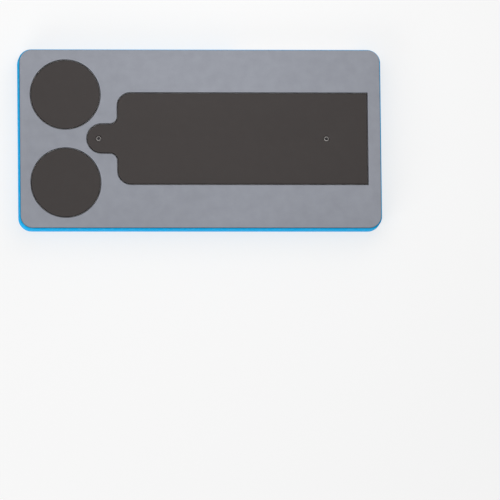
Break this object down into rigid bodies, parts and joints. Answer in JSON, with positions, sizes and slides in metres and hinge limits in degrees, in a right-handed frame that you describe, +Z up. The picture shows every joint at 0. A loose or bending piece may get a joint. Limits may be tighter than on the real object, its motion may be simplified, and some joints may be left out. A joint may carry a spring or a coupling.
{
  "type": "steel-rule cutting die",
  "caption": "Flat rectangular die that stamps leather blanks: bent steel rules and hole punches stand in a moulded tray under ejector foam that gives way in a press.",
  "frame": {"origin": "centre of the tray's back face, on which the die lies", "axes": "+X along the die towards the strap's square end, +Y across it towards the labelled long side, +Z up through the cutting face"},
  "size_m": [0.3, 0.15, 0.019],
  "materials": {
    "blue_plastic": "satin",
    "plywood": "matte",
    "zinc_steel": "satin",
    "label_film": "satin",
    "rule_steel": "satin",
    "punch_steel": "satin",
    "grey_foam": "matte",
    "dark_foam": "matte",
    "grey_face": "matte",
    "dark_face": "matte",
    "black_steel": "satin",
    "spring_steel": "polished"
  },
  "bodies": {
    "die_base": {"base_tray": "blue_plastic", "die_board": "plywood", "base_screws": "zinc_steel", "edge_label": "label_film", "upper_disc_rule": "rule_steel", "lower_disc_rule": "rule_steel", "strap_rule": "rule_steel", "strap_end_rule": "rule_steel", "surround_foam": "grey_foam", "upper_disc_foam": "dark_foam", "lower_disc_foam": "dark_foam", "strap_foam": "dark_foam", "tab_punch_tube": "punch_steel", "tab_punch_spring": "spring_steel", "tab_punch_plug": "zinc_steel", "end_punch_tube": "punch_steel", "end_punch_spring": "spring_steel", "end_punch_plug": "zinc_steel"},
    "surround_pad": {"surround_face": "grey_face"},
    "upper_disc_pad": {"upper_disc_face": "dark_face"},
    "lower_disc_pad": {"lower_disc_face": "dark_face"},
    "strap_pad": {"strap_face": "dark_face"},
    "tab_ejector": {"tab_punch_ejector": "black_steel"},
    "end_ejector": {"end_punch_ejector": "black_steel"}
  },
  "joints": [
    {"name": "surround_press", "type": "slide", "parent": "die_base", "child": "surround_pad", "axis": [0, 0, -1], "range_m": [0, 0.0022], "stiffness_N_per_m": 3000, "deforming": ["surround_foam"]},
    {"name": "upper_disc_press", "type": "slide", "parent": "die_base", "child": "upper_disc_pad", "axis": [0, 0, -1], "range_m": [0, 0.0022], "stiffness_N_per_m": 3000, "deforming": ["upper_disc_foam"]},
    {"name": "lower_disc_press", "type": "slide", "parent": "die_base", "child": "lower_disc_pad", "axis": [0, 0, -1], "range_m": [0, 0.0022], "stiffness_N_per_m": 3000, "deforming": ["lower_disc_foam"]},
    {"name": "strap_press", "type": "slide", "parent": "die_base", "child": "strap_pad", "axis": [0, 0, -1], "range_m": [0, 0.0022], "stiffness_N_per_m": 3000, "deforming": ["strap_foam"]},
    {"name": "tab_ejector_slide", "type": "slide", "parent": "die_base", "child": "tab_ejector", "axis": [0, 0, -1], "range_m": [0, 0.0022], "stiffness_N_per_m": 150, "springref_m": -0.001, "deforming": ["tab_punch_spring"]},
    {"name": "end_ejector_slide", "type": "slide", "parent": "die_base", "child": "end_ejector", "axis": [0, 0, -1], "range_m": [0, 0.0022], "stiffness_N_per_m": 150, "springref_m": -0.001, "deforming": ["end_punch_spring"]}
  ]
}
